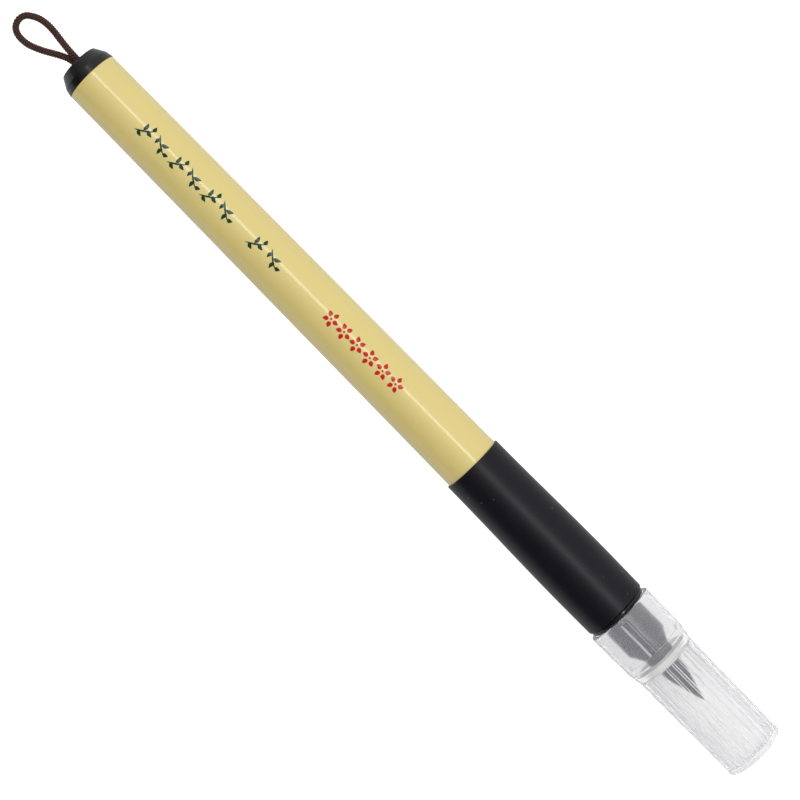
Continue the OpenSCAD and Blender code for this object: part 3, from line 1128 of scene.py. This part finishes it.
@dataclass
class Barrel:
    """Glossy tapered barrel, its sleeve seat, its bore and its air ribs."""

    tail_radius: float = 5.375 * MM
    grip_radius: float = 5.9 * MM
    edge: float = 0.15 * MM
    seat_radius: float = 5.2 * MM
    bore_radius: float = 4.4 * MM
    rib_count: int = 4
    rib_width: float = 0.8 * MM
    rib_inner: float = 3.99 * MM
    rib_root: float = 0.1 * MM

    def radius(self, x: float) -> float:
        """Return the outer radius of the tapered part at a place along X."""
        start, end = node_span("barrel")[0], node_span("grip_sleeve")[0]
        share = (x - start) / (end - start)
        return self.tail_radius + (self.grip_radius - self.tail_radius) * share

    def ribs(self) -> bpy.types.Object:
        """Build the bore's air ribs, which hold the ink wadding clear of the wall."""
        start, end = node_span("reservoir_core")
        shape = bmesh.new()
        for k in range(self.rib_count):
            bar = bmesh.ops.create_cube(shape, size=1.0)["verts"]
            depth = self.bore_radius + self.rib_root - self.rib_inner
            for vert in bar:
                vert.co = Vector(((start + end) / 2 + vert.co.x * (end - start),
                                  vert.co.y * self.rib_width,
                                  self.rib_inner + depth * (vert.co.z + 0.5)))
            angle = math.pi * (2 * k + 1) / self.rib_count
            bmesh.ops.rotate(shape, verts=bar, cent=(0, 0, 0),
                             matrix=Matrix.Rotation(angle, 3, "X"))
        bmesh.ops.translate(shape, verts=shape.verts, vec=(0, 0, AXIS_Z))
        return finish_piece(finish_mesh("barrel_air_ribs", shape, smooth=False), Body.PEN,
                            "barrel_cream", "barrel", materials=(Finish.barrel,))

    def build(self) -> bpy.types.Object:
        """Build the barrel, its ribs and its printed ornament."""
        tail, front = node_span("barrel")
        seat = node_span("grip_sleeve")[0]
        profile = [
            (tail, self.bore_radius),
            (tail, self.tail_radius - self.edge),
            *arc((tail + self.edge, self.tail_radius - self.edge), self.edge, 180, 90, 3)[1:],
            *((x, self.radius(x)) for x in (tail + (seat - tail) * k / 12 for k in range(1, 12))),
            (seat, self.grip_radius),
            (seat, self.seat_radius),
            (front, self.seat_radius),
            (front, self.bore_radius),
        ]
        barrel = revolve("barrel_tube", profile, segments=192)
        finish_piece(barrel, Body.PEN, "barrel_cream", "barrel", materials=(Finish.barrel,))
        self.ribs()
        for name, motif, ink, first, pitch, count, size in (
            ("print_green_sprigs", Motif.SPRIG, Finish.green_ink, 14.6, 4.2, 6, 1.8),
            ("print_green_pair", Motif.SPRIG, Finish.green_ink, 43.5, 4.5, 2, 1.8),
            ("print_red_blossoms", Motif.BLOSSOM, Finish.red_ink, 63.0, 3.37, 6, 1.65),
        ):
            Ornament(name, motif, ink, first * MM, pitch * MM, count, size * MM).build()
        return barrel


# ---------------------------------------------------------------- grip and front


@dataclass
class GripSleeve:
    """Rubber sleeve that swells towards the front."""

    start_radius: float = 6.3 * MM
    swell_radius: float = 6.65 * MM
    end_radius: float = 6.575 * MM
    swell_at: float = 0.76
    edge: float = 0.2 * MM
    bore_radius: float = 5.22 * MM
    steps: int = 24

    def radius(self, share: float) -> float:
        """Return the sleeve's radius at a share of its length."""
        if share < self.swell_at:
            rise = (1 - math.cos(math.pi * share / self.swell_at)) / 2
            return self.start_radius + (self.swell_radius - self.start_radius) * rise
        fall = 1 - math.cos(math.pi / 2 * (share - self.swell_at) / (1 - self.swell_at))
        return self.swell_radius + (self.end_radius - self.swell_radius) * fall

    def build(self) -> bpy.types.Object:
        """Build the sleeve with its bore."""
        start, end = node_span("grip_sleeve")
        profile = [
            (start, self.bore_radius),
            *arc((start + self.edge, self.start_radius - self.edge), self.edge, 180, 90, 5),
            *((start + (end - start) * k / self.steps, self.radius(k / self.steps))
              for k in range(1, self.steps)),
            *arc((end - self.edge, self.end_radius - self.edge), self.edge, 90, 0, 5),
            (end, self.bore_radius),
        ]
        sleeve = revolve("grip_rubber_sleeve", profile, segments=160)
        return finish_piece(sleeve, Body.PEN, "grip_rubber", "grip_sleeve",
                            materials=(Finish.rubber,))


@dataclass
class FrontSection:
    """Black section: spigot, collar, neck, cone and nose."""

    spigot_radius: float = 4.36 * MM
    lead: float = 0.4 * MM
    seat_radius: float = 5.2 * MM
    collar_radius: float = 6.3 * MM
    collar_gap: float = 0.05 * MM
    collar_edge: float = 0.25 * MM
    collar_round: float = 1.1 * MM
    neck_radius: float = 4.4 * MM
    neck_start: float = 0.5 * MM
    neck_length: float = 6.75 * MM
    cone_length: float = 2.8 * MM
    nose_radius: float = 2.85 * MM
    mouth_round: float = 0.3 * MM
    bristle_radius: float = 2.04 * MM
    heel_radius: float = 2.6 * MM
    heel_depth: float = 0.7 * MM

    def build(self) -> bpy.types.Object:
        """Build the section with its bores."""
        rear, mouth = node_span("front_section")
        barrel_end = node_span("barrel")[1]
        grip_end = node_span("grip_sleeve")[1]
        neck = node_span("cap")[0] + self.neck_start
        cone = neck + self.neck_length
        collar = grip_end + self.collar_gap
        profile = [
            (rear, self.heel_radius),
            (rear, self.spigot_radius - self.lead),
            (rear + self.lead, self.spigot_radius),
            (barrel_end, self.spigot_radius),
            (barrel_end, self.seat_radius),
            (collar, self.seat_radius),
            (collar, self.collar_radius - self.collar_edge),
            (collar + 0.3 * self.collar_edge, self.collar_radius - 0.3 * self.collar_edge),
            *arc((collar + self.collar_edge, self.collar_radius - self.collar_round),
                 self.collar_round, 90, 25, 8),
            (neck, self.neck_radius),
            (cone, self.neck_radius),
            (cone + self.cone_length, self.nose_radius),
            *arc((mouth - self.mouth_round, self.nose_radius - self.mouth_round),
                 self.mouth_round, 90, 0, 5),
            (mouth, self.bristle_radius),
            (cone - self.heel_depth, self.bristle_radius),
            (cone - self.heel_depth, self.heel_radius),
        ]
        section = revolve("front_section_black", profile)
        return finish_piece(section, Body.PEN, "section_black", "front_section",
                            materials=(Finish.section,))


@dataclass
class Brush:
    """Nylon bristles that draw to a point, wet with ink."""

    hairs: int = 620
    steps: int = 14
    hair_radius: float = 0.055 * MM
    root_radius: float = 1.93 * MM
    belly_radius: float = 2.42 * MM
    flare: float = 1.2 * MM
    tip_radius: float = 0.06 * MM
    most_short: float = 0.34
    point_curve: float = 1.15
    hair_taper: float = 0.8
    seed: int = 7

    def tree(self) -> GeometryGraph:
        """Build the tree that grows the bristles.

        Returns:
            A tree with the inputs Hairs, Steps, Start, Mouth, Tip, Hair Radius,
            Root Radius, Belly Radius, Flare and Tip Radius.
        """
        graph = GeometryGraph("bristles")
        hairs = graph.value("Hairs", whole=True)
        steps = graph.value("Steps", whole=True)
        start, mouth, tip = (graph.value(name) for name in ("Start", "Mouth", "Tip"))
        hair, root, belly, flare, point = (graph.value(name) for name in (
            "Hair Radius", "Root Radius", "Belly Radius", "Flare", "Tip Radius"))
        line = graph.add("GeometryNodeCurvePrimitiveLine")
        even = graph.add("GeometryNodeResampleCurve", Curve=line.outputs[0], Count=steps)
        copies = graph.add("GeometryNodeDuplicateElements", {"domain": "SPLINE"},
                           Geometry=even.outputs[0], Amount=hairs)
        number = copies.outputs["Duplicate Index"]

        def chance(low: float, high: float, offset: int) -> bpy.types.NodeSocket:
            """Return a random value for each hair."""
            node = graph.add("FunctionNodeRandomValue", Seed=self.seed + offset)
            graph.feed(node, 2, low)
            graph.feed(node, 3, high)
            graph.feed(node, "ID", number)
            return node.outputs[1]

        share = graph.maths("SQRT", chance(0.0, 1.0, 0))
        angle = chance(0.0, 2 * math.pi, 1)
        short = graph.maths("MULTIPLY", chance(0.0, self.most_short, 2), share)
        reach = graph.maths("MULTIPLY", graph.maths("SUBTRACT", tip, start),
                            graph.maths("SUBTRACT", 1.0, short))
        along = graph.add("GeometryNodeSplineParameter").outputs["Factor"]
        x = graph.maths("ADD", start, graph.maths("MULTIPLY", reach, along))
        past = graph.maths("DIVIDE", graph.maths("SUBTRACT", x, mouth), flare)
        swell = graph.add("ShaderNodeMapRange", {"interpolation_type": "SMOOTHSTEP"})
        graph.feed(swell, 0, past)
        graph.feed(swell, 3, root)
        graph.feed(swell, 4, belly)
        front = graph.maths("ADD", mouth, flare)
        run = graph.maths("MAXIMUM", 0.0, graph.maths(
            "DIVIDE", graph.maths("SUBTRACT", x, front), graph.maths("SUBTRACT", tip, front)))
        drawn = graph.maths("MULTIPLY", graph.maths("POWER", run, self.point_curve),
                            graph.maths("SUBTRACT", belly, point))
        reachable = graph.maths("SUBTRACT", swell.outputs[0], drawn)
        radius = graph.maths("MULTIPLY", reachable, share)
        y = graph.maths("MULTIPLY", radius, graph.maths("COSINE", angle))
        z = graph.maths("ADD", graph.maths("MULTIPLY", radius, graph.maths("SINE", angle)), AXIS_Z)
        spot = graph.add("ShaderNodeCombineXYZ", X=x, Y=y, Z=z)
        moved = graph.add("GeometryNodeSetPosition", Geometry=copies.outputs[0],
                          Position=spot.outputs[0])
        outline = graph.add("GeometryNodeCurvePrimitiveCircle", Resolution=3, Radius=hair)
        taper = graph.maths("SUBTRACT", 1.0, graph.maths(
            "MULTIPLY", graph.maths("POWER", along, 3.0), self.hair_taper))
        body = graph.add("GeometryNodeCurveToMesh", Curve=moved.outputs[0],
                         Profile_Curve=outline.outputs[0], Scale=taper, Fill_Caps=True)
        graph.close(body.outputs[0], Finish.bristle)
        return graph

    def build(self) -> bpy.types.Object:
        """Grow the bristles from the heel through the nose to the point."""
        start, tip = node_span("brush_tuft")
        empty = bpy.data.meshes.new("bristle_seed")
        brush = grow("bristles", empty, self.tree(), {
            "Hairs": self.hairs, "Steps": self.steps, "Start": start,
            "Mouth": node_span("front_section")[1], "Tip": tip, "Hair Radius": self.hair_radius,
            "Root Radius": self.root_radius, "Belly Radius": self.belly_radius - self.hair_radius,
            "Flare": self.flare, "Tip Radius": self.tip_radius,
        })
        return finish_piece(brush, Body.PEN, "bristles", "brush_tuft")


# ---------------------------------------------------------------- cap


@dataclass
class Cap:
    """Frosted pull-off cap: skirt with guide ribs, ring, seal web and fluted chamber."""

    mouth_radius: float = 7.0 * MM
    skirt_radius: float = 6.875 * MM
    ring_radius: float = 6.65 * MM
    ring_draft: float = 0.04 * MM
    body_radius: float = 6.425 * MM
    end_radius: float = 6.2 * MM
    lip: float = 0.35 * MM
    inner_lip: float = 0.2 * MM
    shoulder: float = 0.15 * MM
    end_round: float = 0.25 * MM
    skirt: float = 9.9 * MM
    ring_start: float = 0.4 * MM
    ring_length: float = 1.25 * MM
    step: float = 2.3 * MM
    skirt_bore: float = 6.1 * MM
    ledge: float = 9.05 * MM
    ledge_bore: float = 5.7 * MM
    web: float = 11.25 * MM
    web_thickness: float = 1.5 * MM
    web_hole: float = 2.95 * MM
    chamber_radius: float = 5.2 * MM
    end_wall: float = 1.0 * MM
    flutes: int = 24
    flute_depth: float = 0.25 * MM
    flute_lead: float = 0.1 * MM
    flute_rib: float = 0.42 * MM
    flute_turn: float = 10.0
    guides: int = 2
    guide_width: float = 1.0 * MM
    guide_radius: float = 4.5 * MM
    guide_start: float = 1.0 * MM
    guide_turn: float = 7.5
    round_steps: int = 180
    edge_turn: float = 0.8
    edge_clearance: float = 0.2
    sharp_angle: float = math.radians(35)

    def turns(self) -> list[float]:
        """Return the angles round the cap, with a close pair at every rib's edge."""
        even = [360 * k / self.round_steps for k in range(self.round_steps)]
        angles, edges = set(), []
        ribs = [(self.flutes, self.flute_turn, self.flute_rib, self.chamber_radius),
                (self.guides, self.guide_turn, self.guide_width, self.guide_radius)]
        for count, turn, width, radius in ribs:
            half = math.degrees(width / 2 / radius)
            for k in range(count):
                for side in (-half, half):
                    edges.append((turn + 360 * k / count + side) % 360)
                    for gap in (-self.edge_turn, self.edge_turn):
                        angles.add(round((edges[-1] + gap) % 360, 4))
        for angle in even:
            if all(abs((angle - edge + 180) % 360 - 180) > self.edge_turn + self.edge_clearance
                   for edge in edges):
                angles.add(round(angle, 4))
        return sorted(angles)

    def near(self, angle: float, count: int, turn: float, width: float, radius: float) -> bool:
        """Tell whether an angle lies on one of a ring of ribs."""
        pitch = 360 / count
        off = (angle - turn + pitch / 2) % pitch - pitch / 2
        return abs(off) <= math.degrees(width / 2 / radius)

    def outer(self, mouth: float, end: float) -> list[Point]:
        """Return the outside from the mouth's inner edge to the closed end's middle."""
        step = mouth + self.skirt
        ring, body = step + self.ring_start, step + self.step
        return [
            *arc((mouth + self.inner_lip, self.skirt_bore + self.inner_lip), self.inner_lip,
                 270, 180, 4),
            *arc((mouth + self.lip, self.mouth_radius - self.lip), self.lip, 180, 90, 6),
            (mouth + self.skirt / 2, (self.mouth_radius + self.skirt_radius) / 2),
            *arc((step, self.skirt_radius - self.shoulder), self.shoulder, 90, 30, 4),
            (ring, self.ring_radius),
            (ring + self.ring_length, self.ring_radius - self.ring_draft),
            (body, self.body_radius),
            ((body + end) / 2, (self.body_radius + self.end_radius) / 2),
            *arc((end - self.end_round, self.end_radius - self.end_round),
                 self.end_round, 90, 0, 5),
        ]

    def inner(self, mouth: float, end: float, angle: float) -> list[Point]:
        """Return the inside at one angle, from the closed end to the mouth.

        Args:
            mouth: X of the mouth.
            end: X of the closed end.
            angle: degrees round the cap from the top.

        Returns:
            The same number of points at every angle.
        """
        floor = end - self.end_wall
        web_back, web = mouth + self.web + self.web_thickness, mouth + self.web
        flute_x = web_back + self.flute_lead
        on_rib = self.near(angle, self.flutes, self.flute_turn, self.flute_rib, self.chamber_radius)
        deep = self.chamber_radius + (0.0 if on_rib else self.flute_depth)
        on_guide = self.near(angle, self.guides, self.guide_turn, self.guide_width,
                             self.guide_radius)
        skirt = self.guide_radius if on_guide else self.skirt_bore
        ledge = mouth + self.ledge
        return [
            (floor, deep),
            (flute_x, deep),
            (flute_x, self.chamber_radius),
            (web_back, self.chamber_radius),
            (web_back, self.web_hole),
            (web, self.web_hole),
            (web, self.ledge_bore),
            (ledge, self.ledge_bore),
            (ledge, skirt),
            (mouth + self.guide_start, skirt),
            (mouth + self.guide_start, self.skirt_bore),
        ]

    def build(self) -> bpy.types.Object:
        """Build the cap as one closed wall."""
        mouth, end = node_span("cap")
        outside = supported(self.outer(mouth, end))
        turns = self.turns()
        shape = bmesh.new()

        def column(profile: list[Point], angle: float) -> list[bmesh.types.BMVert]:
            """Make the vertices of a profile at one angle."""
            return [shape.verts.new(around(x, radius, math.radians(angle)))
                    for x, radius in profile]

        def radius_of(vert: bmesh.types.BMVert) -> float:
            """Return a vertex's distance from the pen's axis."""
            return math.hypot(vert.co.y, vert.co.z - AXIS_Z)

        shell = [column(outside, angle) for angle in turns]
        hollow = [column(self.inner(mouth, end, angle), angle) for angle in turns]
        tip = shape.verts.new((end, 0.0, AXIS_Z))
        bottom = shape.verts.new((end - self.end_wall, 0.0, AXIS_Z))
        for k, outline in enumerate(shell):
            after = (k + 1) % len(shell)
            line = [tip, *reversed(outline), *reversed(hollow[k]), bottom]
            other = [tip, *reversed(shell[after]), *reversed(hollow[after]), bottom]
            web = set(hollow[k][3:7])
            highlight_flank = set()
            for first, last in ((0, 2), (8, 10)):
                rise = radius_of(hollow[k][first]) - radius_of(hollow[after][first])
                if abs(rise) > self.flute_depth / 2:
                    highlight_flank.update(hollow[k][first:last])
            for (a, b), (c, d) in zip(zip(line, line[1:]), zip(other, other[1:])):
                face = shape.faces.new(list(dict.fromkeys((a, b, d, c))))
                # Web faces get the milky seal; flute and guide-rib flank faces get the whiter
                # finish, which is a painted highlight line.
                face.material_index = (int(a in web and b in web)
                                       + 2 * int(a in highlight_flank and b in highlight_flank))
        cap = finish_mesh("cap_shell", shape)
        cap.data.set_sharp_from_angle(angle=self.sharp_angle)
        return finish_piece(cap, Body.CAP, "cap_frosted", "cap",
                            materials=(Finish.cap, Finish.seal, Finish.rib_edge_highlight))


def main() -> None:
    """Build the studio and the pen, piece by piece."""
    Studio().build()
    HangingLoop().build()
    TailPlug().build()
    Barrel().build()
    GripSleeve().build()
    FrontSection().build()
    Brush().build()
    Cap().build()
    for node, material in (
        ("reservoir_core", Finish.wadding),
        ("reservoir_film", Finish.film),
        ("feed_rod", Finish.feed),
        ("feed_bush", Finish.bush),
        ("brush_heel", Finish.heel),
    ):
        dress(node, material)


if __name__ == "__main__":
    logging.basicConfig(level=logging.INFO, format="%(name)s %(message)s")
    main()
